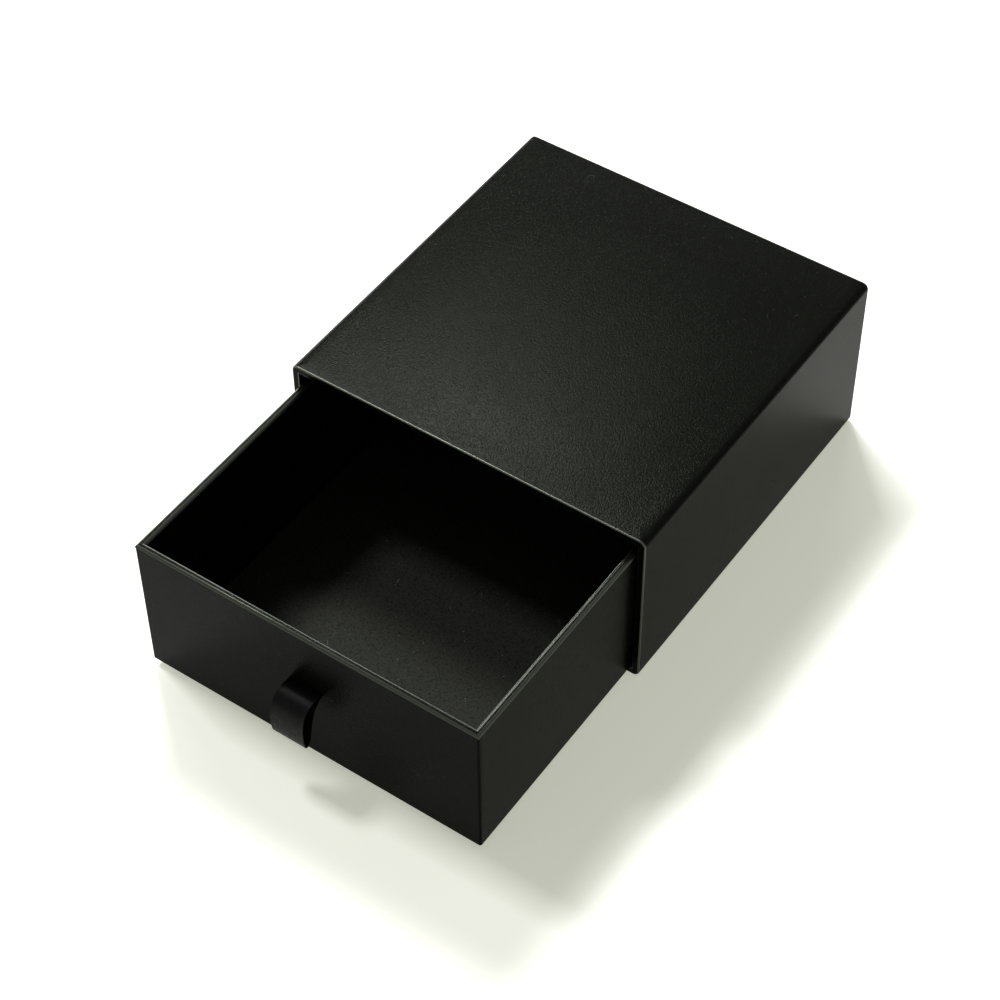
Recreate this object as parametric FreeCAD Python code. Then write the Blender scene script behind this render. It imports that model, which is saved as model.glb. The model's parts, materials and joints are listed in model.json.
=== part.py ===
import FreeCAD, Part
import math
import os

V = FreeCAD.Vector

# ---------------------------------------------------------------------------------------
# Sliding drawer gift box: a rigid-board sleeve, closed at the back, and a rigid-board
# drawer with a ribbon tab. Millimetres, +Z up. The origin is the centre of the sleeve's
# underside. The sleeve's mouth faces -Y, and the drawer is drawn part of the way out.
# ---------------------------------------------------------------------------------------

# Outside of the sleeve, over its paper
sleeve_width = 120.0
sleeve_depth = 122.0
sleeve_height = 58.0
sleeve_long_edge_radius = 2.0
sleeve_end_edge_radius = 0.45

# Stock
board_thickness = 2.0
paper_thickness = 0.2
stay_thickness = 0.12

# Room between the drawer and the sleeve
drawer_side_clearance = 0.45
drawer_floor_clearance = 0.1
drawer_top_clearance = 3.7
drawer_back_clearance = 0.6
drawer_drawn_out = 74.0

# Edges of the drawer, over its paper
drawer_corner_radius = 0.75
drawer_foot_radius = 0.45
rim_flat = 0.1

# Laps of the papers and of the stay tapes
mouth_turn_in = 18.0
flap_width = 12.0
stay_width = 10.0
stay_end_gap = 4.0

# Ribbon tab, and the slit that it comes out of
ribbon_width = 11.0
ribbon_thickness = 0.35
slit_side_clearance = 0.3
slit_clearance = 0.1
slit_below_rim = 21.0
tail_length = 12.0
patch_margin = 5.0
hinge_gap = 0.15

# Side view of the hanging loop: distance out from the hinge, height above it, and the
# radius of the bend there
loop_bends = [(4.3, 3.4, 3.0), (9.9, -1.6, 5.5), (9.5, -13.9, 1.8), (5.7, -13.5, 1.8), (5.0, -4.5, 4.0)]

# Worked out from the sizes above
wall_thickness = board_thickness + 2 * paper_thickness
half_width = sleeve_width / 2
mouth_y = -sleeve_depth / 2
back_y = sleeve_depth / 2
cavity_half_width = half_width - wall_thickness
cavity_floor_z = wall_thickness
cavity_top_z = sleeve_height - wall_thickness
cavity_back_y = back_y - wall_thickness

drawer_half_width = cavity_half_width - drawer_side_clearance
drawer_bottom_z = cavity_floor_z + drawer_floor_clearance
drawer_top_z = cavity_top_z - drawer_top_clearance
drawer_front_y = mouth_y - drawer_drawn_out
drawer_back_y = cavity_back_y - drawer_back_clearance - drawer_drawn_out
drawer_inner_front_y = drawer_front_y + wall_thickness
base_board_top_z = drawer_bottom_z + paper_thickness + board_thickness
rim_radius = (wall_thickness - rim_flat) / 2
slit_z = drawer_top_z - slit_below_rim
hinge_y = drawer_front_y - hinge_gap - ribbon_thickness

beyond = 1.0    # how far a cutting block runs past what it cuts


# ---------------------------------------------------------------------------------------
# Helpers
# ---------------------------------------------------------------------------------------
def block(x0, x1, y0, y1, z0, z1):
    """A box between two corners."""
    return Part.makeBox(x1 - x0, y1 - y0, z1 - z0, V(x0, y0, z0))


def edges_along_y(shape):
    """The straight edges of a shape that run along Y."""
    return [e for e in shape.Edges if e.BoundBox.XLength < 1e-6 and e.BoundBox.ZLength < 1e-6]


def edges_along_z(shape):
    """The straight edges of a shape that run along Z."""
    return [e for e in shape.Edges if e.BoundBox.XLength < 1e-6 and e.BoundBox.YLength < 1e-6]


def edges_square_to_y(shape):
    """The edges of a shape that lie in a plane square to Y."""
    return [e for e in shape.Edges if e.BoundBox.YLength < 1e-6]


def rounded_wire(corners):
    """A closed wire through corners, each a point and the radius of the bend there."""
    starts, middles, ends = [], [], []
    for i, (corner, radius) in enumerate(corners):
        before = (corners[i - 1][0] - corner).normalize()
        after = (corners[(i + 1) % len(corners)][0] - corner).normalize()
        half_angle = before.getAngle(after) / 2
        reach = radius / math.tan(half_angle)
        starts.append(corner + before * reach)
        middles.append(corner + (before + after).normalize() * (radius / math.sin(half_angle) - radius))
        ends.append(corner + after * reach)
    edges = []
    for i, (corner, radius) in enumerate(corners):
        following = starts[(i + 1) % len(corners)]
        if radius > 0:
            edges.append(Part.Arc(starts[i], middles[i], ends[i]).toShape())
        if (following - ends[i]).Length > 1e-9:
            edges.append(Part.makeLine(ends[i], following))
    return Part.Wire(edges)


def crossed_prisms(front_view, side_view):
    """The solid that has both outlines: front_view lists (x, z, radius) corners, and
    side_view lists (y, z, radius) corners. Its rounded edges meet in mitres."""
    xs = [x for x, z, radius in front_view]
    ys = [y for y, z, radius in side_view]
    front = rounded_wire([(V(x, min(ys) - beyond, z), radius) for x, z, radius in front_view])
    side = rounded_wire([(V(min(xs) - beyond, y, z), radius) for y, z, radius in side_view])
    along_y = Part.Face(front).extrude(V(0, max(ys) - min(ys) + 2 * beyond, 0))
    along_x = Part.Face(side).extrude(V(max(xs) - min(xs) + 2 * beyond, 0, 0))
    return along_y.common(along_x)


def write(node, shape):
    shape.exportStep("parts/" + node + ".step")


# ---------------------------------------------------------------------------------------
# Sleeve: four V-grooved walls and a back of board, stays, papers
# ---------------------------------------------------------------------------------------
def sleeve_envelope(inset):
    """The sleeve's outside, closed all round, with its faces moved in by inset."""
    body = block(-half_width + inset, half_width - inset, mouth_y + inset, back_y - inset,
                 inset, sleeve_height - inset)
    body = body.makeFillet(sleeve_long_edge_radius - inset, edges_along_y(body))
    return body.makeFillet(sleeve_end_edge_radius - inset, edges_square_to_y(body))


def sleeve_hollow(outset, y0, y1):
    """The sleeve's hollow from y0 to y1, with its sides moved out by outset."""
    return block(-cavity_half_width - outset, cavity_half_width + outset, y0, y1,
                 cavity_floor_z - outset, cavity_top_z + outset)


def sleeve_quarters(depth):
    """For each wall, the wedge of space outside a mitre plane through the long edges."""
    x_out, z_low, z_high = half_width + beyond, -beyond, sleeve_height + beyond
    x_in, z_low_in, z_high_in = half_width - depth, depth, sleeve_height - depth
    outer = [(-x_out, z_high), (x_out, z_high), (x_out, z_low), (-x_out, z_low)]
    inner = [(-x_in, z_high_in), (x_in, z_high_in), (x_in, z_low_in), (-x_in, z_low_in)]
    wedges = {}
    for i, wall in enumerate(("top", "right", "bottom", "left")):
        j = (i + 1) % 4
        corners = [(V(x, mouth_y - beyond, z), 0) for x, z in (outer[i], outer[j], inner[j], inner[i])]
        wedges[wall] = Part.Face(rounded_wire(corners)).extrude(V(0, sleeve_depth + 2 * beyond, 0))
    return wedges


def sleeve_stays():
    """The stay along the closing edge of the grooved board, and the four stays that fold
    from the walls onto the back board. Each is pressed flush into the board."""
    skin = sleeve_envelope(paper_thickness).cut(sleeve_envelope(paper_thickness + stay_thickness))
    lap = paper_thickness + stay_width
    x, low, high = half_width, lap, sleeve_height - lap
    seam = skin.common(block(-x - beyond, -x + lap, mouth_y + flap_width, back_y - lap, -beyond, low))
    strips = [(-x + stay_end_gap, x - stay_end_gap, high, sleeve_height + beyond),
              (-x + stay_end_gap, x - stay_end_gap, -beyond, low),
              (-x - beyond, -x + lap, low + stay_end_gap, high - stay_end_gap),
              (x - lap, x + beyond, low + stay_end_gap, high - stay_end_gap)]
    back = Part.makeCompound([skin.common(block(x0, x1, back_y - lap, back_y + beyond, z0, z1))
                              for x0, x1, z0, z1 in strips])
    return seam, back


def make_sleeve():
    seam_stay, back_stays = sleeve_stays()
    boards = sleeve_envelope(paper_thickness).cut(seam_stay).cut(back_stays)
    inside_back_y = cavity_back_y + paper_thickness
    back_board = boards.common(sleeve_hollow(paper_thickness, inside_back_y, back_y))
    tube = boards.cut(sleeve_hollow(paper_thickness, mouth_y - beyond, back_y + beyond))
    for wall, wedge in sleeve_quarters(wall_thickness + beyond).items():
        write("sleeve_" + wall + "_board", tube.common(wedge))
    write("sleeve_back_board", back_board)
    write("sleeve_seam_stay", seam_stay)
    write("sleeve_back_stays", back_stays)

    base_sheet = block(-half_width + flap_width, half_width - flap_width,
                       mouth_y + flap_width, back_y - flap_width, 0, paper_thickness)
    back_sheet = block(-half_width + flap_width, half_width - flap_width,
                       back_y - paper_thickness, back_y, flap_width, sleeve_height - flap_width)
    wrap = sleeve_envelope(0).cut(sleeve_envelope(paper_thickness))
    turn_in = sleeve_hollow(paper_thickness, mouth_y + paper_thickness, mouth_y + mouth_turn_in)
    wrap = wrap.fuse(turn_in).cut(sleeve_hollow(0, mouth_y - beyond, cavity_back_y))
    wrap = wrap.cut(base_sheet).cut(back_sheet).removeSplitter()
    liner = sleeve_hollow(paper_thickness, mouth_y + mouth_turn_in, inside_back_y)
    liner = liner.cut(sleeve_hollow(0, mouth_y, cavity_back_y))
    write("sleeve_base_sheet", base_sheet)
    write("sleeve_back_sheet", back_sheet)
    write("sleeve_wrap", wrap)
    write("sleeve_liner", liner)


# ---------------------------------------------------------------------------------------
# Drawer: a base board with four wall boards on it, stays, papers, and the ribbon's slit
# ---------------------------------------------------------------------------------------
def drawer_envelope(inset):
    """The drawer's outside as a solid block, with its faces moved in by inset. Its foot
    is slightly rounded, and its upper edges are the outer halves of the round rim."""
    x, y0, y1 = drawer_half_width - inset, drawer_front_y + inset, drawer_back_y - inset
    z0, z1 = drawer_bottom_z + inset, drawer_top_z - inset
    foot, rim = drawer_foot_radius - inset, rim_radius - inset
    body = crossed_prisms([(-x, z0, foot), (x, z0, foot), (x, z1, rim), (-x, z1, rim)],
                          [(y0, z0, foot), (y1, z0, foot), (y1, z1, rim), (y0, z1, rim)])
    upright = block(-x, x, y0, y1, z0 - beyond, z1 + beyond)
    return body.common(upright.makeFillet(drawer_corner_radius - inset, edges_along_z(upright)))


def drawer_hollow(outset):
    """The drawer's hollow above the base board, with its sides moved out by outset. It
    flares at the top, where it leaves the inner halves of the round rim."""
    x = drawer_half_width - wall_thickness + outset
    y0, y1 = drawer_inner_front_y - outset, drawer_back_y - wall_thickness + outset
    z0, z1, rim = base_board_top_z, drawer_top_z - outset, rim_radius - outset
    lip = wall_thickness + beyond

    def outline(low, high):
        return [(low, z0, 0), (high, z0, 0), (high, z1, rim), (high + lip, z1, 0),
                (high + lip, z1 + beyond, 0), (low - lip, z1 + beyond, 0), (low - lip, z1, 0), (low, z1, rim)]

    return crossed_prisms(outline(-x, x), outline(y0, y1))


def drawer_corner_stays():
    """Four stays that hold the wall boards at the upright corners."""
    skin = drawer_envelope(paper_thickness).cut(drawer_envelope(paper_thickness + stay_thickness))
    lap = paper_thickness + stay_width
    z0, z1 = drawer_bottom_z + stay_end_gap, drawer_top_z - stay_end_gap
    x, y0, y1 = drawer_half_width, drawer_front_y, drawer_back_y
    stays = []
    for x0, x1 in ((-x - beyond, -x + lap), (x - lap, x + beyond)):
        for ya, yb in ((y0 - beyond, y0 + lap), (y1 - lap, y1 + beyond)):
            stays.append(skin.common(block(x0, x1, ya, yb, z0, z1)))
    return Part.makeCompound(stays)


def make_drawer():
    slit_half_width = ribbon_width / 2 + slit_side_clearance
    slit_half_height = ribbon_thickness + slit_clearance
    slit = block(-slit_half_width, slit_half_width, drawer_front_y - beyond, drawer_inner_front_y + beyond,
                 slit_z - slit_half_height, slit_z + slit_half_height)
    stays = drawer_corner_stays()
    write("drawer_corner_stays", stays)

    boards = drawer_envelope(paper_thickness).cut(drawer_hollow(paper_thickness))
    x, lap = drawer_half_width + beyond, paper_thickness + board_thickness
    front_end, back_end = drawer_front_y + lap, drawer_back_y - lap
    low, foot, high = drawer_bottom_z, base_board_top_z, drawer_top_z
    write("drawer_base_board", boards.common(block(-x, x, drawer_front_y, drawer_back_y, low, foot)))
    walls = {
        "front": block(-x, x, drawer_front_y, front_end, foot, high).cut(slit),
        "back": block(-x, x, back_end, drawer_back_y, foot, high),
        "left": block(-x, 0, front_end, back_end, foot, high),
        "right": block(0, x, front_end, back_end, foot, high),
    }
    for wall, room in walls.items():
        write("drawer_" + wall + "_board", boards.common(room).cut(stays))

    base_sheet = block(-drawer_half_width + flap_width, drawer_half_width - flap_width,
                       drawer_front_y + flap_width, drawer_back_y - flap_width, low, low + paper_thickness)
    wrap = drawer_envelope(0).cut(drawer_hollow(0)).cut(boards).cut(base_sheet).cut(slit)
    floor = drawer_half_width - wall_thickness
    write("drawer_base_sheet", base_sheet)
    write("drawer_wrap", wrap)
    write("drawer_floor_liner", block(-floor, floor, drawer_inner_front_y, drawer_back_y - wall_thickness,
                                      foot, foot + paper_thickness))


# ---------------------------------------------------------------------------------------
# Ribbon: its glued tails and their patch ride with the drawer, the loop swings in front
# ---------------------------------------------------------------------------------------
def make_ribbon_fixing():
    x, y = ribbon_width / 2, drawer_inner_front_y
    reach = ribbon_thickness + tail_length
    doubled = block(-x, x, drawer_front_y, y, slit_z - ribbon_thickness, slit_z + ribbon_thickness)
    spread = block(-x, x, y, y + ribbon_thickness, slit_z - reach, slit_z + reach)
    tails = doubled.fuse(spread).removeSplitter()
    over = paper_thickness
    bump = block(-x - over, x + over, y, y + ribbon_thickness + over, slit_z - reach - over, slit_z + reach + over)
    plate = block(-x - patch_margin, x + patch_margin, y, y + over,
                  slit_z - reach - patch_margin, slit_z + reach + patch_margin)
    write("ribbon_tails", tails)
    write("ribbon_patch", plate.fuse(bump).cut(spread).removeSplitter())


def make_ribbon_loop():
    """The doubled ribbon outside the slit. Its root is rounded about the hinge, so that it
    swings clear of the drawer."""
    root = ribbon_thickness
    side_view = [(-root, root, root * 0.9)] + loop_bends + [(-root, -root, root * 0.9)]
    outer = rounded_wire([(V(-ribbon_width / 2, hinge_y - out, slit_z + up), radius)
                          for out, up, radius in side_view])
    face = Part.Face(outer)
    inner = face.makeOffset2D(-ribbon_thickness)
    write("pull_ribbon", face.cut(inner).extrude(V(ribbon_width, 0, 0)))


os.makedirs("parts", exist_ok=True)
make_sleeve()
make_drawer()
make_ribbon_fixing()
make_ribbon_loop()
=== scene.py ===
import json
import math

import bmesh
import bpy
from mathutils import Matrix, Vector


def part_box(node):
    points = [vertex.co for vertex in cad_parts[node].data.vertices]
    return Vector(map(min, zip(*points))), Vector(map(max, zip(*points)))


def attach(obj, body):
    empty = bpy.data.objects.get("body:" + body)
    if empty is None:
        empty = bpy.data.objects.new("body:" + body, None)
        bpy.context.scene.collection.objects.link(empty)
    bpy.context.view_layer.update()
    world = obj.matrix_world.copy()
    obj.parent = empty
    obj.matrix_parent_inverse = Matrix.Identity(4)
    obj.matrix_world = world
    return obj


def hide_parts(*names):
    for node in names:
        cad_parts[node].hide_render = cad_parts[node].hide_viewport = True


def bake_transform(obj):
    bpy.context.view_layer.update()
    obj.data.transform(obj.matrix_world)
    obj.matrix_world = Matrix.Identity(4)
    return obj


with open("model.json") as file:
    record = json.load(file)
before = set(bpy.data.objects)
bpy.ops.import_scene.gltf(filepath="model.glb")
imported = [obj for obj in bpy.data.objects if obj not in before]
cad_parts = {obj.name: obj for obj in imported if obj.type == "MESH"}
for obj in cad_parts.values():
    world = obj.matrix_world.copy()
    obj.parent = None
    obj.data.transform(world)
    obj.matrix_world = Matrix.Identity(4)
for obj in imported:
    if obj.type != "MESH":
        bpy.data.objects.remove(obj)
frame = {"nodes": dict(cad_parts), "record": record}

bl_info = {
    "name": "Sliding drawer gift box",
    "version": (1, 0, 0),
    "blender": (4, 5, 0),
    "location": "3D View > Sidebar > Gift Box",
    "description": "Dresses a rigid-board gift box with its covering papers, ribbon tab and studio",
    "category": "Object",
}

MM = 0.001
X, Y, Z = 0, 1, 2

# Corners nearer than SAME are one corner, and SLACK is the room left in a looser test of place
SAME = 0.02 * MM
SLACK = 0.1 * MM
# Share of an edge or a normal that lies along one axis: more is straight, and less is on a rounded edge
STRAIGHT = 0.999
ROUNDED = 0.985
# Where two faces meet at a larger angle than this, in degrees, the edge stays sharp
PAPER_SMOOTH = 30
CLOTH_SMOOTH = 50

SLEEVE_LOW, SLEEVE_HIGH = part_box("sleeve_wrap")
DRAWER_LOW, DRAWER_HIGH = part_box("drawer_wrap")
BASE_SHEET_LOW, BASE_SHEET_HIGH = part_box("sleeve_base_sheet")
BACK_SHEET_LOW, BACK_SHEET_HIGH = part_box("sleeve_back_sheet")
DRAWER_SHEET_LOW, DRAWER_SHEET_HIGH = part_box("drawer_base_sheet")
TAILS_LOW, TAILS_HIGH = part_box("ribbon_tails")
TRAY_FLOOR_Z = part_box("drawer_floor_liner")[0].z
SLIT_Z = (TAILS_LOW.z + TAILS_HIGH.z) / 2

# The sleeve's top bows up. Shares of half its width or depth: the cuts that divide it, and the middle
# that is lifted whole. Share of half its width: how far the lift reaches beyond that middle
CROWN_CUTS = (-0.92, -0.8, -0.62, -0.3, 0.0, 0.3, 0.62, 0.8, 0.92)
CROWN_MIDDLE = 0.31
CROWN_REACH = 0.66

# Side view of the ribbon's loop: out from the drawer's front, and up from the slit, in mm
RIBBON_LINE = [(0.0, 0.18), (2.0, 0.6), (4.6, 0.8), (7.6, -1.1), (8.9, -4.6), (9.2, -9.0), (9.0, -12.7),
               (8.2, -14.5), (6.9, -14.2), (6.2, -12.2), (5.4, -8.2), (4.2, -3.8), (2.0, -1.0), (0.0, -0.18)]
RIBBON_COLUMNS = 12

# Softboxes: where each one stands, the point that it faces, and its width and height, in metres
BOX_MIDDLE = (0, -0.03, 0.03)
SOFTBOXES = {
    "key": ((-0.87, -0.01, 1.34), BOX_MIDDLE, (0.28, 0.28)),
    "near": ((-0.45, 0.39, 0.85), BOX_MIDDLE, (0.32, 0.16)),
    "front_rim": ((-0.42, 0.77, 0.21), (0, -0.135, 0.05), (0.44, 0.38)),
    "side_rim": ((-0.8, 0.4, 0.21), (0.057, -0.098, 0.05), (0.34, 0.32)),
}
TABLE_SIZE = 6
# The table's lift grows to white between these distances from its middle, in metres
LIFT_NEAR, LIFT_FAR = 0.5, 1.3

CAMERA_PLACE = Vector((285.346, -449.393, 581.767)) * MM
CAMERA_AIM = Vector((0, -43.28, 21.34)) * MM
CAMERA_ROLL = math.radians(-0.513)
SENSOR_MM = 36


def linear(code):
    """An sRGB hex colour as linear red, green, blue and alpha."""
    values = [int(code[i:i + 2], 16) / 255 for i in (1, 3, 5)]
    return (*[v / 12.92 if v <= 0.04045 else ((v + 0.055) / 1.055) ** 2.4 for v in values], 1.0)


# ------------------------------------------------------------------------------------------
# Sizes and colours
# ------------------------------------------------------------------------------------------
def length(name, description, default):
    return bpy.props.FloatProperty(name=name, description=description, default=default * MM,
                                   min=0, subtype="DISTANCE", unit="LENGTH")


def colour(name, description, code):
    return bpy.props.FloatVectorProperty(name=name, description=description, default=linear(code),
                                         size=4, min=0, max=1, subtype="COLOR")


def amount(name, description, default):
    return bpy.props.FloatProperty(name=name, description=description, default=default, min=0)


def power(name, description, default):
    return bpy.props.FloatProperty(name=name, description=description, default=default, min=0, unit="POWER")


class GiftBoxSizes(bpy.types.PropertyGroup):
    """Sizes of the papers, the rims and the seams."""
    paper: length("Paper", "Thickness of the covering paper", 0.19)
    wall: length("Wall", "Thickness of a covered wall", 2.4)
    long_edge: length("Long edge", "Radius of the sleeve's folded long edges", 2.0)
    end_edge: length("End edge", "Radius of the sleeve's edges at its mouth and back", 0.45)
    mouth_inner_edge: length("Mouth inner edge", "Radius of the mouth's inner edges", 0.3)
    turn_in: length("Turn-in", "How far the paper runs into the mouth", 18.0)
    crown: length("Crown", "How far the sleeve's top bows up in its middle", 1.1)
    overlap: length("Overlap", "How far the paper laps round an upright corner", 1.4)
    corner: length("Drawer corner", "Radius of the drawer's upright corners", 0.75)
    foot: length("Drawer foot", "Radius of the drawer's lowest edges", 0.45)
    rim: length("Rim", "Radius of the drawer's rolled rim", 1.15)
    slit_width: length("Slit width", "Width of the ribbon's slit", 11.6)
    slit_height: length("Slit height", "Height of the ribbon's slit", 0.9)
    seam_width: length("Seam width", "Width of a seam between two papers", 0.22)
    seam_depth: length("Seam depth", "Depth of a seam between two papers", 0.1)


class RibbonSizes(bpy.types.PropertyGroup):
    """Sizes of the ribbon tab."""
    width: length("Width", "Width of the ribbon", 11.0)
    thickness: length("Thickness", "Thickness of the ribbon", 0.3)
    tail: length("Tail", "Length of each glued tail inside the drawer", 11.5)
    pick: length("Pick", "Distance between the ribbon's cross threads", 0.4)


class PaperLook(bpy.types.PropertyGroup):
    """Colours and finishes."""
    paper_colour: colour("Paper", "Black embossed covering paper", "#0c0d0a")
    liner_colour: colour("Liner", "Duller charcoal paper on the drawer's floor", "#292a26")
    fibre_colour: colour("Fibres", "Pale fibres and dust caught on the paper", "#34342e")
    scratch_colour: colour("Scratches", "Pale hairline scuffs on the drawer's floor", "#5c5d55")
    ribbon_colour: colour("Ribbon", "Black polyester satin", "#070708")
    board_colour: colour("Greyboard", "Grey pulp board under the paper", "#8f8a80")
    tape_colour: colour("Stay tape", "Brown kraft tape that holds the corners", "#a48a64")
    gloss_tint: colour("Gloss tint", "Faint olive tint of the paper's gloss", "#f3ffe6")
    roughness: amount("Roughness", "Roughness of the covering paper", 0.19)
    gloss: amount("Gloss", "Specular level of the covering paper", 0.0175)
    liner_roughness: amount("Liner roughness", "Roughness of the duller paper on the drawer's floor", 0.38)
    fold_roughness: amount("Fold roughness", "Roughness of the paper on a pressed fold", 0.3)
    fold_gloss: amount("Fold gloss", "Specular level of the paper on the sleeve's pressed folds", 0.65)
    rim_gloss: amount("Rim gloss", "Specular level of the paper rolled over the drawer's rim", 0.42)
    grain_depth: length("Grain depth", "Depth of the paper's embossed grain", 0.025)
    grain_size: length("Grain size", "Width of one pebble of the embossed grain", 0.62)


class StudioLook(bpy.types.PropertyGroup):
    """Floor, lamps and camera."""
    floor_colour: colour("Floor", "Pale painted table", "#efefec")
    lift_colour: colour("Background", "Glow that lifts the table to a white background", "#aeb0a2")
    room_colour: colour("Room colour", "White walls of the room", "#fbfbf9")
    room: amount("Room", "Strength of the soft light from the room all round", 0.16)
    key_power: power("Key", "Power of the key softbox, high on the left", 11.5)
    near_power: power("Near", "Power of the small softbox behind, on the left", 10.2)
    front_rim_power: power("Front rim", "Power of the low softbox behind, which edges the front rim", 3.4)
    side_rim_power: power("Side rim", "Power of the low softbox on the left, which edges the side rims", 3.6)
    lens: bpy.props.FloatProperty(name="Lens", description="Focal length on a 36 mm sensor",
                                  default=92.533, min=1, subtype="DISTANCE_CAMERA")


# ------------------------------------------------------------------------------------------
# Modelling
# ------------------------------------------------------------------------------------------
def deselect():
    bpy.ops.object.select_all(action="DESELECT")


def begin_cube(name, low, high):
    """A cube that fills the box between two corners, with its place in its mesh, open for editing."""
    deselect()
    bpy.ops.mesh.primitive_cube_add(size=1, location=(low + high) / 2, scale=high - low)
    bpy.ops.object.transform_apply(location=True, rotation=True, scale=True)
    piece = bpy.context.object
    piece.name = piece.data.name = name
    bpy.ops.object.mode_set(mode="EDIT")
    return piece


def pick(kind, test):
    """In edit mode, selects the verts, edges or faces that pass a test, and nothing else."""
    bpy.ops.mesh.select_mode(type={"verts": "VERT", "edges": "EDGE", "faces": "FACE"}[kind])
    bpy.ops.mesh.select_all(action="DESELECT")
    data = bpy.context.edit_object.data
    mesh = bmesh.from_edit_mesh(data)
    found = [item for item in getattr(mesh, kind) if not item.hide and test(item)]
    for item in found:
        item.select_set(True)
    mesh.select_flush_mode()
    bmesh.update_edit_mesh(data)
    if not found:
        raise RuntimeError(f"{bpy.context.edit_object.name}: nothing was found to select")


def middle(item):
    """The middle of an edge or a face."""
    if isinstance(item, bmesh.types.BMFace):
        return item.calc_center_median()
    return (item.verts[0].co + item.verts[1].co) / 2


def runs_along(edge, axis):
    """True where an edge is straight along one axis."""
    step = edge.verts[1].co - edge.verts[0].co
    return abs(step[axis]) > STRAIGHT * step.length


def near(a, b, within=SAME):
    return abs(a - b) < within


def on_plane(item, axis, place):
    """True where every corner of an item lies on a plane square to an axis."""
    return all(near(v.co[axis], place) for v in item.verts)


def turns_at(edge, axis):
    """True where one of an edge's faces stands along an axis rather than square to it."""
    return any(abs(f.normal[axis]) < 0.5 for f in edge.link_faces)


def cut_across(face_test, place, across):
    """Cuts the faces that pass a test with a plane."""
    pick("faces", face_test)
    bpy.ops.mesh.bisect(plane_co=place, plane_no=across.normalized(), threshold=SAME)


def cut_window(face_test, axis_a, a0, a1, axis_b, b0, b1):
    """Cuts a rectangular window in the flat face that passes a test, and opens it."""
    for axis, place in ((axis_a, a0), (axis_a, a1), (axis_b, b0), (axis_b, b1)):
        where, across = Vector((0, 0, 0)), Vector((0, 0, 0))
        where[axis], across[axis] = place, 1
        cut_across(face_test, where, across)
    pick("faces", lambda f: face_test(f) and a0 < middle(f)[axis_a] < a1 and b0 < middle(f)[axis_b] < b1)
    bpy.ops.mesh.delete(type="FACE")


def round_edges(test, radius, segments):
    pick("edges", test)
    bpy.ops.mesh.bevel(offset=radius, segments=segments, profile=0.5, clamp_overlap=False,
                       miter_outer="SHARP", miter_inner="SHARP")


def groove(test, width, depth):
    """Presses a shallow groove along the edges that pass a test: a seam where two papers meet."""
    pick("edges", test)
    bpy.ops.mesh.bevel(offset=width / 2, segments=2, profile=0.5, clamp_overlap=True)
    mesh = bmesh.from_edit_mesh(bpy.context.edit_object.data)
    floor = {v.index for v in mesh.verts if v.select and all(f.select for f in v.link_faces)}
    if floor:
        pick("verts", lambda v: v.index in floor)
        bpy.ops.transform.shrink_fatten(value=-depth)


def bow(test, low, high, height):
    """Bows a flat face outwards: it is cut into a grid, and its middle is drawn up with a soft falloff."""
    centre, half = (low + high) / 2, (high - low) / 2
    for axis in (X, Y):
        for share in CROWN_CUTS:
            where, across = centre.copy(), Vector((0, 0, 0))
            where[axis], across[axis] = centre[axis] + share * half[axis], 1
            cut_across(test, where, across)
    pick("faces", lambda f: not test(f))
    bpy.ops.mesh.hide(unselected=False)
    pick("verts", lambda v: all(abs(v.co[axis] - centre[axis]) < CROWN_MIDDLE * half[axis]
                                for axis in (X, Y)))
    bpy.ops.transform.translate(value=(0, 0, height), use_proportional_edit=True,
                                proportional_edit_falloff="INVERSE_SQUARE",
                                proportional_size=CROWN_REACH * half.x)
    bpy.ops.mesh.reveal(select=False)


def burnish(piece, material, test):
    """Gives the folds that pass a test the polished finish that a bone folder leaves."""
    piece.data.materials.append(bpy.data.materials[material])
    for face in piece.data.polygons:
        if max(abs(n) for n in face.normal) < ROUNDED and test(face.center):
            face.material_index = 1


def finish_shell(piece, thickness):
    """Gives a skin the paper's thickness, inwards, and smooths its rounded edges."""
    bpy.ops.mesh.select_all(action="SELECT")
    bpy.ops.mesh.remove_doubles(threshold=SAME)
    bpy.ops.object.mode_set(mode="OBJECT")
    shell = piece.modifiers.new("Paper", "SOLIDIFY")
    shell.thickness, shell.offset = thickness, -1
    shell.use_even_offset, shell.use_quality_normals = True, True
    bpy.ops.object.modifier_apply(modifier=shell.name)
    bpy.ops.object.shade_smooth_by_angle(angle=math.radians(PAPER_SMOOTH))
    even = piece.modifiers.new("Even", "WEIGHTED_NORMAL")
    even.keep_sharp, even.weight = True, 100
    bpy.ops.object.modifier_apply(modifier=even.name)


# ------------------------------------------------------------------------------------------
# Materials
# ------------------------------------------------------------------------------------------
def add(owner, kind, settings=None, links=None):
    """Adds one node to a material or a world, with its settings and the sockets that feed its inputs."""
    tree = owner.node_tree
    node = tree.nodes.new(kind)
    for key, value in (settings or {}).items():
        if isinstance(key, str) and hasattr(node, key):
            setattr(node, key, value)
        else:
            node.inputs[key].default_value = value
    for key, socket in (links or {}).items():
        tree.links.new(socket, node.inputs[key])
    return node


def new_material(name):
    material = bpy.data.materials.new(name)
    material.use_nodes = True
    material.node_tree.nodes.clear()
    return material


def dress(piece, material):
    piece.data.materials.clear()
    piece.data.materials.append(material)


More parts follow.
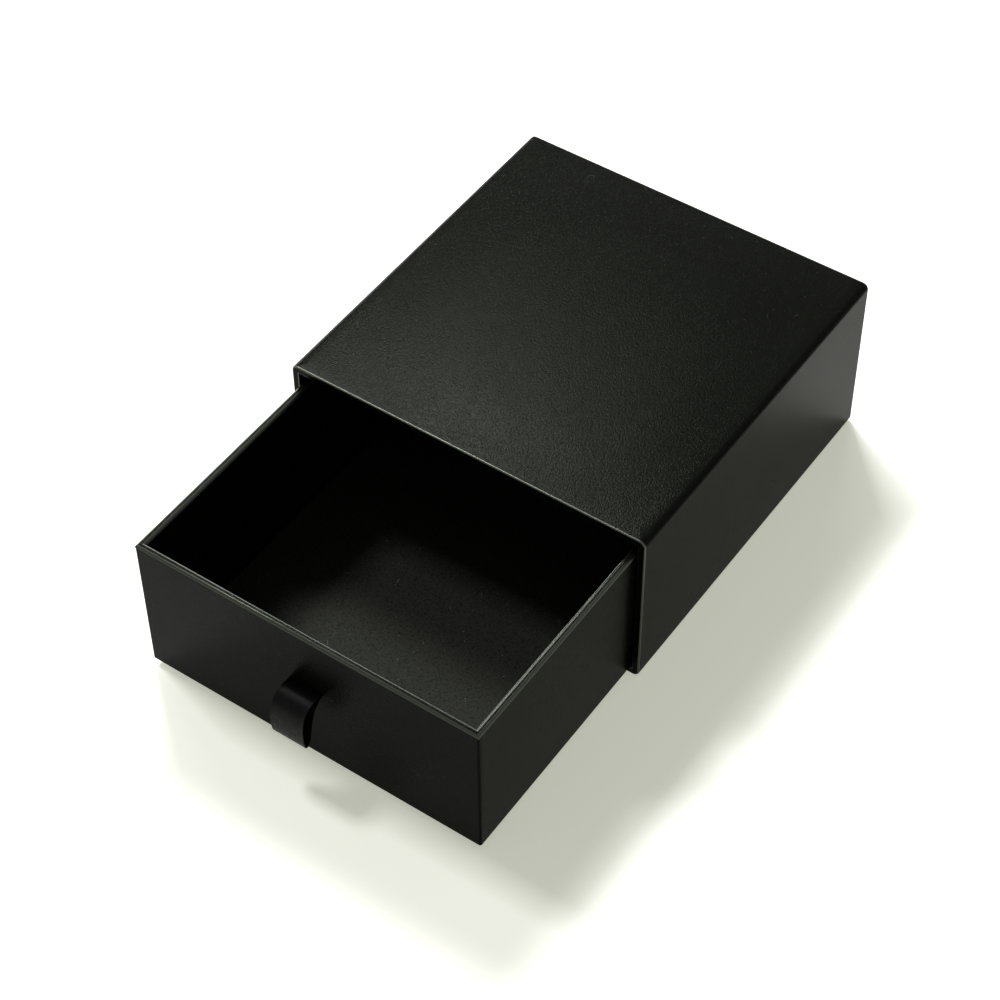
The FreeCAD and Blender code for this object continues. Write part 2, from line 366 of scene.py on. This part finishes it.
def embossed_grain(m, place, look):
    """Height of the leather grain: worm-like ridges about 0.8 mm apart, with a finer tooth between them."""
    per_metre = 1 / look.grain_size
    ridges = add(m, "ShaderNodeTexNoise", {"noise_type": "RIDGED_MULTIFRACTAL", "Scale": 0.8 * per_metre,
                                           "Detail": 1.0, "Roughness": 0.5, "Lacunarity": 2.0, "Offset": 1.0,
                                           "Gain": 2.0}, {"Vector": place})
    tooth = add(m, "ShaderNodeTexNoise", {"Scale": 2.4 * per_metre, "Detail": 2.0, "Roughness": 0.6},
                {"Vector": place})
    height = add(m, "ShaderNodeMath", {"operation": "MULTIPLY_ADD", 1: 0.8},
                 {0: tooth.outputs["Fac"], 2: ridges.outputs["Fac"]})
    return height.outputs[0]


def pale_litter(m, place):
    """1 where a pale fibre or a speck of dust lies on the paper, and 0 beside it."""
    # Fibres, under 0.1 mm wide and 1 or 2 mm long: slices through a slow noise, broken by a quicker one
    bends = add(m, "ShaderNodeTexNoise", {"Scale": 55.0, "Detail": 1.0}, {"Vector": place})
    off_line = add(m, "ShaderNodeMath", {"operation": "PINGPONG", 1: 0.045}, {0: bends.outputs["Fac"]})
    line = add(m, "ShaderNodeMapRange", {1: 0.0, 2: 0.0016, 3: 1.0, 4: 0.0}, {0: off_line.outputs[0]})
    breaks = add(m, "ShaderNodeTexNoise", {"Scale": 210.0, "Detail": 1.0}, {"Vector": place})
    short = add(m, "ShaderNodeMapRange", {1: 0.66, 2: 0.7, 3: 0.0, 4: 1.0}, {0: breaks.outputs["Fac"]})
    fibres = add(m, "ShaderNodeMath", {"operation": "MULTIPLY"}, {0: line.outputs[0], 1: short.outputs[0]})
    # Dust: specks of up to 0.4 mm, about one to the square centimetre, in a quarter of the 2.4 mm cells
    specks = add(m, "ShaderNodeTexVoronoi", {"Scale": 420.0, "Randomness": 1.0}, {"Vector": place})
    small = add(m, "ShaderNodeMapRange", {1: 0.05, 2: 0.1, 3: 1.0, 4: 0.0}, {0: specks.outputs["Distance"]})
    chosen = add(m, "ShaderNodeSeparateColor", None, {"Color": specks.outputs["Color"]})
    some = add(m, "ShaderNodeMath", {"operation": "GREATER_THAN", 1: 0.75}, {0: chosen.outputs[0]})
    dust = add(m, "ShaderNodeMath", {"operation": "MULTIPLY"}, {0: small.outputs[0], 1: some.outputs[0]})
    litter = add(m, "ShaderNodeMath", {"operation": "ADD", "use_clamp": True},
                 {0: fibres.outputs[0], 1: dust.outputs[0]})
    return litter.outputs[0]


def black_embossed_paper(name, look, pulp, litter_colour, roughness, gloss, grain_depth):
    """Black covering paper, coloured in the pulp and embossed between rollers with a fine leather grain.
    Pressed hard over an edge with a bone folder, it is smoother and catches the light."""
    m = new_material(name)
    place = add(m, "ShaderNodeTexCoord").outputs["Object"]
    height = embossed_grain(m, place, look)
    pit, crest, polish = 0.6, 2.2, 0.05
    bump = add(m, "ShaderNodeBump", {"Strength": 1.0, "Distance": grain_depth}, {"Height": height})
    # Handling leaves broad patches that are a little duller, about 25 mm across
    patches = add(m, "ShaderNodeTexNoise", {"Scale": 40.0, "Detail": 3.0, "Roughness": 0.55},
                  {"Vector": place})
    patchy = add(m, "ShaderNodeMapRange", {1: 0.3, 2: 0.7, 3: roughness, 4: roughness + polish},
                 {0: patches.outputs["Fac"]})
    # The rollers polish the crests of the grain and leave its pits dull
    pits = add(m, "ShaderNodeMapRange", {1: pit, 2: crest, 3: polish, 4: -polish}, {0: height})
    dullness = add(m, "ShaderNodeMath", {"operation": "ADD", "use_clamp": True},
                   {0: patchy.outputs[0], 1: pits.outputs[0]})
    # Painted shade and painted light of the grain: the colour is darker in the pits and lighter on the crests
    painted_pit_shade = add(m, "ShaderNodeMapRange", {1: pit, 2: crest, 3: 0.0, 4: 1.0}, {0: height})
    dark, light = ([c * share for c in pulp[:3]] + [1.0] for share in (0.6, 1.5))
    pit_shaded_pulp = add(m, "ShaderNodeMix", {"data_type": "RGBA", 6: dark, 7: light}, {0: painted_pit_shade.outputs[0]})
    tone = add(m, "ShaderNodeMix", {"data_type": "RGBA", 7: litter_colour},
               {0: pale_litter(m, place), 6: pit_shaded_pulp.outputs[2]})
    surface = add(m, "ShaderNodeBsdfPrincipled",
                  {"IOR": 1.5, "Specular IOR Level": gloss, "Specular Tint": look.gloss_tint},
                  {"Base Color": tone.outputs[2], "Roughness": dullness.outputs[0],
                   "Normal": bump.outputs["Normal"]})
    add(m, "ShaderNodeOutputMaterial", None, {"Surface": surface.outputs["BSDF"]})
    return m


def plain_pulp(name, tone, grain_mm):
    """Uncoated pulp: greyboard or kraft tape, matt, flecked with fibres."""
    m = new_material(name)
    place = add(m, "ShaderNodeTexCoord").outputs["Object"]
    flecks = add(m, "ShaderNodeTexNoise", {"Scale": 1000.0 / grain_mm, "Detail": 4.0, "Roughness": 0.7},
                 {"Vector": place})
    dark, light = ([min(1.0, c * share) for c in tone[:3]] + [1.0] for share in (0.72, 1.2))
    mixed = add(m, "ShaderNodeMix", {"data_type": "RGBA", 6: dark, 7: light}, {0: flecks.outputs["Fac"]})
    bump = add(m, "ShaderNodeBump", {"Strength": 0.3, "Distance": 0.02 * MM},
               {"Height": flecks.outputs["Fac"]})
    surface = add(m, "ShaderNodeBsdfPrincipled", {"Roughness": 0.85},
                  {"Base Color": mixed.outputs[2], "Normal": bump.outputs["Normal"]})
    add(m, "ShaderNodeOutputMaterial", None, {"Surface": surface.outputs["BSDF"]})
    return m


def woven_ribbon(name, look, sizes):
    """Black polyester satin ribbon: fine cross ribs, floating threads that glint, and firm selvedges."""
    m = new_material(name)
    uv = add(m, "ShaderNodeUVMap", {"uv_map": "ribbon"}).outputs["UV"]
    parts = add(m, "ShaderNodeSeparateXYZ", None, {"Vector": uv})
    # Cross ribs, one for each pick
    turn_per_metre = 2 * math.pi / sizes.pick
    ribs = add(m, "ShaderNodeMath", {"operation": "MULTIPLY", 1: turn_per_metre}, {0: parts.outputs["Y"]})
    wave = add(m, "ShaderNodeMath", {"operation": "SINE"}, {0: ribs.outputs[0]})
    # Warp threads, about 0.3 mm wide, float over several picks: a noise drawn out along the ribbon
    drawn = add(m, "ShaderNodeMapping", {"vector_type": "POINT", "Scale": (1.0, 0.125, 1.0)}, {"Vector": uv})
    threads = add(m, "ShaderNodeTexNoise", {"Scale": 3500.0, "Detail": 2.0, "Roughness": 0.6},
                  {"Vector": drawn.outputs["Vector"]})
    # Selvedges: the outer half millimetre on each side is a little thicker
    across = add(m, "ShaderNodeMath", {"operation": "SUBTRACT", 1: sizes.width / 2}, {0: parts.outputs["X"]})
    outward = add(m, "ShaderNodeMath", {"operation": "ABSOLUTE"}, {0: across.outputs[0]})
    selvedge_foot, selvedge_top = sizes.width / 2 - 0.7 * MM, sizes.width / 2 - 0.45 * MM
    selvedge = add(m, "ShaderNodeMapRange", {1: selvedge_foot, 2: selvedge_top, 3: 0.0, 4: 2.0},
                   {0: outward.outputs[0]})
    woven = add(m, "ShaderNodeMath", {"operation": "MULTIPLY_ADD", 1: 0.35},
                {0: wave.outputs[0], 2: selvedge.outputs[0]})
    height = add(m, "ShaderNodeMath", {"operation": "MULTIPLY_ADD", 1: 1.6},
                 {0: threads.outputs["Fac"], 2: woven.outputs[0]})
    bump = add(m, "ShaderNodeBump", {"Strength": 1.0, "Distance": 0.03 * MM}, {"Height": height.outputs[0]})
    glint = add(m, "ShaderNodeMapRange", {1: 0.35, 2: 0.65, 3: 0.24, 4: 0.46}, {0: threads.outputs["Fac"]})
    surface = add(m, "ShaderNodeBsdfPrincipled", {"Base Color": look.ribbon_colour, "IOR": 1.55,
                                                  "Specular IOR Level": 0.045, "Sheen Weight": 0.004},
                  {"Roughness": glint.outputs[0], "Normal": bump.outputs["Normal"]})
    add(m, "ShaderNodeOutputMaterial", None, {"Surface": surface.outputs["BSDF"]})
    return m


def background_rays(owner):
    """1 where a ray sees the background, straight or in gloss or glass, and 0 where it gathers light."""
    ray = add(owner, "ShaderNodeLightPath")
    mirrored = add(owner, "ShaderNodeMath", {"operation": "MAXIMUM"},
                   {0: ray.outputs["Is Glossy Ray"], 1: ray.outputs["Is Transmission Ray"]})
    seen = add(owner, "ShaderNodeMath", {"operation": "MAXIMUM"},
               {0: ray.outputs["Is Camera Ray"], 1: mirrored.outputs[0]})
    return seen.outputs[0]


def painted_table(name, studio):
    """Pale painted board, matt. It is seen on a white background, lifted a little, with the shadow kept.
    Away from the box, where the lamps fall off, the lift grows to a plain white."""
    m = new_material(name)
    paint = add(m, "ShaderNodeBsdfDiffuse", {"Color": studio.floor_colour})
    place = add(m, "ShaderNodeTexCoord").outputs["Object"]
    away = add(m, "ShaderNodeVectorMath", {"operation": "LENGTH"}, {0: place})
    far = add(m, "ShaderNodeMapRange", {1: LIFT_NEAR, 2: LIFT_FAR, 3: 0.0, 4: 1.0},
              {0: away.outputs["Value"]})
    glow = add(m, "ShaderNodeMix", {"data_type": "RGBA", 6: studio.lift_colour, 7: linear("#ffffff")},
               {0: far.outputs[0]})
    lift = add(m, "ShaderNodeEmission", None, {"Color": glow.outputs[2], "Strength": background_rays(m)})
    both = add(m, "ShaderNodeAddShader", None, {0: paint.outputs[0], 1: lift.outputs[0]})
    add(m, "ShaderNodeOutputMaterial", None, {"Surface": both.outputs[0]})
    return m


# ------------------------------------------------------------------------------------------
# Boards and flat papers
# ------------------------------------------------------------------------------------------
class GIFTBOX_OT_board_finish(bpy.types.Operator):
    """Gives the boards, tapes and flat papers their finishes"""
    bl_idname = "giftbox.board_finish"
    bl_label = "Boards and flat papers"

    def execute(self, context):
        look, ribbon = context.scene.giftbox_look, context.scene.giftbox_ribbon
        # Pressing and rolling flatten the grain, and the liner's gloss is about half of the cover's
        black_embossed_paper("burnished_paper_fold", look, look.paper_colour, look.fibre_colour,
                             look.fold_roughness, look.fold_gloss, look.grain_depth * 0.35)
        black_embossed_paper("rolled_paper_rim", look, look.paper_colour, look.fibre_colour,
                             look.fold_roughness, look.rim_gloss, look.grain_depth * 0.15)
        cover = black_embossed_paper("black_embossed_paper", look, look.paper_colour, look.fibre_colour,
                                     look.roughness, look.gloss, look.grain_depth)
        liner = black_embossed_paper("dull_liner_paper", look, look.liner_colour, look.scratch_colour,
                                     look.liner_roughness, look.gloss * 0.55, look.grain_depth)
        finishes = {
            "black_paper": cover,
            "greyboard": plain_pulp("grey_pulp_board", look.board_colour, 0.8),
            "stay_paper": plain_pulp("kraft_stay_tape", look.tape_colour, 0.5),
            "ribbon": woven_ribbon("polyester_satin_ribbon", look, ribbon),
        }
        slot_of = {entry["node"]: entry["material_slot"] for entry in frame["record"]["subparts"]}
        for name, node in frame["nodes"].items():
            dress(node, finishes[slot_of[name]])
        dress(frame["nodes"]["drawer_floor_liner"], liner)
        return {"FINISHED"}


# ------------------------------------------------------------------------------------------
# Sleeve cover
# ------------------------------------------------------------------------------------------
def open_sleeve(s, low, high):
    """Opens the sleeve's mouth, and the places that its back and base sheets fill."""
    gap = s.seam_width
    cut_window(lambda f: on_plane(f, Y, low.y), X, low.x + s.wall, high.x - s.wall,
               Z, low.z + s.wall, high.z - s.wall)
    cut_window(lambda f: on_plane(f, Y, high.y), X, BACK_SHEET_LOW.x - gap, BACK_SHEET_HIGH.x + gap,
               Z, BACK_SHEET_LOW.z - gap, BACK_SHEET_HIGH.z + gap)
    cut_window(lambda f: on_plane(f, Z, low.z), X, BASE_SHEET_LOW.x - gap, BASE_SHEET_HIGH.x + gap,
               Y, BASE_SHEET_LOW.y - gap, BASE_SHEET_HIGH.y + gap)


def turn_in_mouth(s, low, high):
    """Turns the paper into the mouth, and rounds its edges there and at the back."""
    def inside(v):
        return abs(v.co.x) < high.x - s.wall + SLACK and s.wall - SLACK < v.co.z < high.z - s.wall + SLACK

    def mouth_edge(e):
        return on_plane(e, Y, low.y) and all(inside(v) for v in e.verts) and not e.is_boundary \
            and any(f.normal.y > -0.5 for f in e.link_faces)

    def end_edge(e, y):
        return on_plane(e, Y, y) and turns_at(e, Y) and not all(inside(v) for v in e.verts)

    pick("edges", lambda e: e.is_boundary and on_plane(e, Y, low.y))
    bpy.ops.mesh.extrude_region_move(TRANSFORM_OT_translate={"value": (0, s.turn_in, 0)})
    round_edges(mouth_edge, s.mouth_inner_edge, segments=3)
    for y in (low.y, high.y):
        round_edges(lambda e: end_edge(e, y), s.end_edge, segments=4)


def mitre_back_flaps(s, low, high):
    """Folds mitres where the paper's flaps meet on the back."""
    gap = s.seam_width
    hole_x = BACK_SHEET_HIGH.x + gap
    for side in (-1, 1):
        for edge_z, hole_z in ((low.z, BACK_SHEET_LOW.z - gap), (high.z, BACK_SHEET_HIGH.z + gap)):
            corner = Vector((side * high.x, high.y, edge_z))
            run = Vector((side * hole_x, high.y, hole_z)) - corner

            def in_corner(f):
                return on_plane(f, Y, high.y) and side * middle(f).x > hole_x \
                    and abs(middle(f).z - edge_z) < abs(hole_z - edge_z)

            def on_fold(v):
                return (v.co - corner).cross(run).length / run.length < 0.03 * MM

            cut_across(in_corner, corner, Vector((run.z, 0, -run.x)))
            groove(lambda e: on_plane(e, Y, high.y) and all(on_fold(v) for v in e.verts),
                   s.seam_width, s.seam_depth)


class GIFTBOX_OT_sleeve_cover(bpy.types.Operator):
    """Wraps the sleeve in its covering paper, turned in at the mouth and folded over the back"""
    bl_idname = "giftbox.sleeve_cover"
    bl_label = "Sleeve cover"

    def execute(self, context):
        s = context.scene.giftbox_sizes
        low, high = SLEEVE_LOW.copy(), SLEEVE_HIGH.copy()
        low.z = 0
        piece = begin_cube("sleeve_cover_paper", low, high)
        round_edges(lambda e: runs_along(e, Y), s.long_edge, segments=6)
        open_sleeve(s, low, high)
        turn_in_mouth(s, low, high)
        mitre_back_flaps(s, low, high)
        bow(lambda f: f.normal.z > STRAIGHT and middle(f).z > high.z - SLACK, low, high, s.crown)
        finish_shell(piece, s.paper)
        dress(piece, bpy.data.materials["black_embossed_paper"])
        burnish(piece, "burnished_paper_fold",
                lambda c: c.y < low.y + s.end_edge or c.y > high.y - s.end_edge)
        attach(piece, "sleeve")
        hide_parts("sleeve_wrap")
        return {"FINISHED"}


# ------------------------------------------------------------------------------------------
# Drawer cover
# ------------------------------------------------------------------------------------------
def hollow_drawer(s, low, high):
    """Hollows the drawer down to its floor, and opens its slit and the place that its base sheet fills."""
    pick("faces", lambda f: on_plane(f, Z, high.z))
    bpy.ops.mesh.inset(thickness=s.wall, use_even_offset=True)
    bpy.ops.mesh.extrude_region_move(TRANSFORM_OT_translate={"value": (0, 0, TRAY_FLOOR_Z - high.z)})
    bpy.ops.mesh.delete(type="FACE")
    slit = (X, -s.slit_width / 2, s.slit_width / 2, Z, SLIT_Z - s.slit_height / 2, SLIT_Z + s.slit_height / 2)
    for wall_y in (low.y, low.y + s.wall):
        cut_window(lambda f: on_plane(f, Y, wall_y), *slit)
    pick("edges", lambda e: e.is_boundary and abs(middle(e).x) < s.slit_width / 2 + MM
         and near(middle(e).z, SLIT_Z, within=MM))
    bpy.ops.mesh.bridge_edge_loops()
    gap = s.seam_width
    cut_window(lambda f: on_plane(f, Z, low.z), X, DRAWER_SHEET_LOW.x - gap, DRAWER_SHEET_HIGH.x + gap,
               Y, DRAWER_SHEET_LOW.y - gap, DRAWER_SHEET_HIGH.y + gap)


def round_drawer(s, low, high):
    """Rolls the rim, and rounds the upright corners and the foot."""
    def at_corner(v):
        return near(abs(v.co.x), high.x) and (near(v.co.y, low.y) or near(v.co.y, high.y))

    round_edges(lambda e: on_plane(e, Z, high.z) and (runs_along(e, X) or runs_along(e, Y)),
                s.rim, segments=6)
    round_edges(lambda e: runs_along(e, Z) and all(at_corner(v) for v in e.verts), s.corner, segments=4)
    round_edges(lambda e: on_plane(e, Z, low.z) and turns_at(e, Z), s.foot, segments=3)


def lap_corners(s, low, high):
    """Presses the seams where the front and back papers lap a little round the upright corners."""
    for side in (-1, 1):
        for end in (low.y + s.overlap, high.y - s.overlap):
            def on_seam(v):
                return near(side * v.co.x, high.x) and near(v.co.y, end)

            cut_across(lambda f: side * f.normal.x > STRAIGHT and near(side * middle(f).x, high.x),
                       Vector((0, end, 0)), Vector((0, 1, 0)))
            groove(lambda e: runs_along(e, Z) and all(on_seam(v) for v in e.verts),
                   s.seam_width, s.seam_depth)


def mitre_rim(s, low, high):
    """Presses a mitred seam across the rim's top at each corner."""
    def on_mitre(v):
        from_side = high.x - abs(v.co.x)
        off_mitre = min(abs(from_side - (v.co.y - low.y)), abs(from_side - (high.y - v.co.y)))
        return off_mitre < 0.01 * MM and from_side > s.corner and v.co.z > high.z - 0.8 * s.rim

    groove(lambda e: all(on_mitre(v) for v in e.verts), s.seam_width, s.seam_depth)


class GIFTBOX_OT_drawer_cover(bpy.types.Operator):
    """Wraps the drawer in its covering paper, rolled over the rim and mitred at its corners"""
    bl_idname = "giftbox.drawer_cover"
    bl_label = "Drawer cover"

    def execute(self, context):
        s = context.scene.giftbox_sizes
        low, high = DRAWER_LOW.copy(), DRAWER_HIGH.copy()
        piece = begin_cube("drawer_cover_paper", low, high)
        hollow_drawer(s, low, high)
        round_drawer(s, low, high)
        lap_corners(s, low, high)
        mitre_rim(s, low, high)
        finish_shell(piece, s.paper)
        dress(piece, bpy.data.materials["black_embossed_paper"])
        burnish(piece, "rolled_paper_rim", lambda c: c.z > high.z - s.rim)
        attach(piece, "drawer")
        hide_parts("drawer_wrap")
        return {"FINISHED"}


# ------------------------------------------------------------------------------------------
# Ribbon tab
# ------------------------------------------------------------------------------------------
def ribbon_path(r, front, inner):
    """Points along the ribbon's middle: down a glued tail, out through the slit, round the loop and back."""
    layer = r.thickness / 2 + SAME
    glued = inner + r.thickness / 2
    points = [(glued, SLIT_Z + layer + r.tail), (glued, SLIT_Z + layer + r.tail / 2),
              (glued, SLIT_Z + layer + MM), (glued, SLIT_Z + layer),
              (inner - MM, SLIT_Z + layer), (front + MM, SLIT_Z + layer)]
    points += [(front - out * MM, SLIT_Z + up * MM) for out, up in RIBBON_LINE]
    points += [(front + MM, SLIT_Z - layer), (inner - MM, SLIT_Z - layer),
               (glued, SLIT_Z - layer), (glued, SLIT_Z - layer - MM),
               (glued, SLIT_Z - layer - r.tail / 2), (glued, SLIT_Z - layer - r.tail)]
    curve = bpy.data.curves.new("ribbon_line", "CURVE")
    curve.dimensions, curve.resolution_u = "3D", 6
    spline = curve.splines.new("NURBS")
    spline.points.add(len(points) - 1)
    for point, (y, z) in zip(spline.points, points):
        point.co = (0, y, z, 1)
    spline.order_u, spline.use_endpoint_u = 3, True
    line = bpy.data.objects.new("ribbon_line", curve)
    bpy.context.scene.collection.objects.link(line)
    bpy.context.view_layer.update()
    sampled = bpy.data.meshes.new_from_object(line.evaluated_get(bpy.context.evaluated_depsgraph_get()))
    bpy.data.objects.remove(line)
    return [v.co.copy() for v in sampled.vertices]


def ribbon_strip(name, width, path):
    """A flat strip along a path, with a UV map in metres. Gives its object and its length."""
    mesh = bmesh.new()
    rows, run, travelled = [], [], 0.0
    for i, p in enumerate(path):
        travelled += (p - path[i - 1]).length if i else 0
        run.append(travelled)
        rows.append([mesh.verts.new((-width / 2 + width * c / RIBBON_COLUMNS, p.y, p.z))
                     for c in range(RIBBON_COLUMNS + 1)])
    uv = mesh.loops.layers.uv.new("ribbon")
    for i in range(len(rows) - 1):
        for c in range(RIBBON_COLUMNS):
            corners = [(i, c), (i + 1, c), (i + 1, c + 1), (i, c + 1)]
            face = mesh.faces.new([rows[a][b] for a, b in corners])
            for loop, (a, b) in zip(face.loops, corners):
                loop[uv].uv = (width * b / RIBBON_COLUMNS, run[a])
    data = bpy.data.meshes.new(name)
    mesh.to_mesh(data)
    mesh.free()
    strip = bpy.data.objects.new(name, data)
    bpy.context.scene.collection.objects.link(strip)
    return strip, travelled


class GIFTBOX_OT_ribbon_tab(bpy.types.Operator):
    """Threads one ribbon through the slit, with its loop outside and its tails glued inside"""
    bl_idname = "giftbox.ribbon_tab"
    bl_label = "Ribbon tab"

    def execute(self, context):
        r, s = context.scene.giftbox_ribbon, context.scene.giftbox_sizes
        front, inner = DRAWER_LOW.y, DRAWER_LOW.y + s.wall
        piece, travelled = ribbon_strip("pull_ribbon_cloth", r.width, ribbon_path(r, front, inner))
        deselect()
        piece.select_set(True)
        context.view_layer.objects.active = piece
        cloth = piece.modifiers.new("Cloth", "SOLIDIFY")
        cloth.thickness, cloth.offset = r.thickness, 0
        bpy.ops.object.modifier_apply(modifier=cloth.name)
        bpy.ops.object.shade_smooth_by_angle(angle=math.radians(CLOTH_SMOOTH))
        dress(piece, bpy.data.materials["polyester_satin_ribbon"])
        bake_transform(piece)
        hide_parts("pull_ribbon", "ribbon_tails")
        return {"FINISHED"}


# ------------------------------------------------------------------------------------------
# Studio
# ------------------------------------------------------------------------------------------
def aimed(place, aim):
    """The turn of a lamp or a camera at a place that faces a point."""
    return (Vector(aim) - Vector(place)).to_track_quat("-Z", "Y")


def softbox(name, place, aim, size, watts):
    """A softbox that faces a point."""
    lamp = bpy.data.lights.new(name, "AREA")
    lamp.shape, lamp.energy = "RECTANGLE", watts
    lamp.size, lamp.size_y = size
    box = bpy.data.objects.new(name, lamp)
    box.location = place
    box.rotation_euler = aimed(place, aim).to_euler()
    box.visible_camera = False
    bpy.context.scene.collection.objects.link(box)


def white_room(studio):
    """A world of soft light. Past the table the background is white too, and gloss and glass show it."""
    world = bpy.data.worlds.new("studio_room")
    world.use_nodes = True
    room = world.node_tree.nodes["Background"]
    room.inputs["Color"].default_value = studio.room_colour
    level = add(world, "ShaderNodeMath", {"operation": "MAXIMUM", 1: studio.room},
                {0: background_rays(world)})
    world.node_tree.links.new(level.outputs[0], room.inputs["Strength"])
    return world


class GIFTBOX_OT_stage(bpy.types.Operator):
    """Sets up the pale table, the softboxes and the camera"""
    bl_idname = "giftbox.stage"
    bl_label = "Stage"

    def execute(self, context):
        scene, studio = context.scene, context.scene.giftbox_studio
        deselect()
        bpy.ops.mesh.primitive_plane_add(size=TABLE_SIZE, location=(0, 0, 0))
        table = context.object
        table.name = table.data.name = "painted_table"
        dress(table, painted_table("painted_table", studio))

        for name, (place, aim, size) in SOFTBOXES.items():
            softbox(f"{name}_softbox", place, aim, size, getattr(studio, f"{name}_power"))
        scene.world = white_room(studio)

        lens = bpy.data.cameras.new("camera")
        lens.lens, lens.sensor_width, lens.sensor_fit = studio.lens, SENSOR_MM, "HORIZONTAL"
        lens.clip_start, lens.clip_end = 0.01, 20
        camera = bpy.data.objects.new("camera", lens)
        camera.matrix_world = Matrix.Translation(CAMERA_PLACE) \
            @ aimed(CAMERA_PLACE, CAMERA_AIM).to_matrix().to_4x4() @ Matrix.Rotation(CAMERA_ROLL, 4, "Z")
        scene.collection.objects.link(camera)
        scene.camera = camera
        scene.view_settings.view_transform = "Standard"
        return {"FINISHED"}


class GIFTBOX_PT_panel(bpy.types.Panel):
    """Lists the gift box's sizes, finishes and steps"""
    bl_idname = "GIFTBOX_PT_panel"
    bl_label = "Gift Box"
    bl_space_type = "VIEW_3D"
    bl_region_type = "UI"
    bl_category = "Gift Box"

    def draw(self, context):
        for group in GROUPS:
            box = self.layout.box()
            for prop in GROUPS[group].__annotations__:
                box.prop(getattr(context.scene, group), prop)
        for step in STEPS:
            self.layout.operator(step.bl_idname)


GROUPS = {"giftbox_sizes": GiftBoxSizes, "giftbox_ribbon": RibbonSizes, "giftbox_look": PaperLook,
          "giftbox_studio": StudioLook}
STEPS = (GIFTBOX_OT_board_finish, GIFTBOX_OT_sleeve_cover, GIFTBOX_OT_drawer_cover, GIFTBOX_OT_ribbon_tab,
         GIFTBOX_OT_stage)


def register():
    for kind in (*GROUPS.values(), *STEPS, GIFTBOX_PT_panel):
        bpy.utils.register_class(kind)
    for name, kind in GROUPS.items():
        setattr(bpy.types.Scene, name, bpy.props.PointerProperty(type=kind))


def unregister():
    for name in GROUPS:
        delattr(bpy.types.Scene, name)
    for kind in (GIFTBOX_PT_panel, *reversed(STEPS), *reversed(tuple(GROUPS.values()))):
        bpy.utils.unregister_class(kind)


def main():
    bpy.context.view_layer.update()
    register()
    for step in STEPS:
        family, name = step.bl_idname.split(".")
        getattr(getattr(bpy.ops, family), name)()


if __name__ == "__main__":
    main()
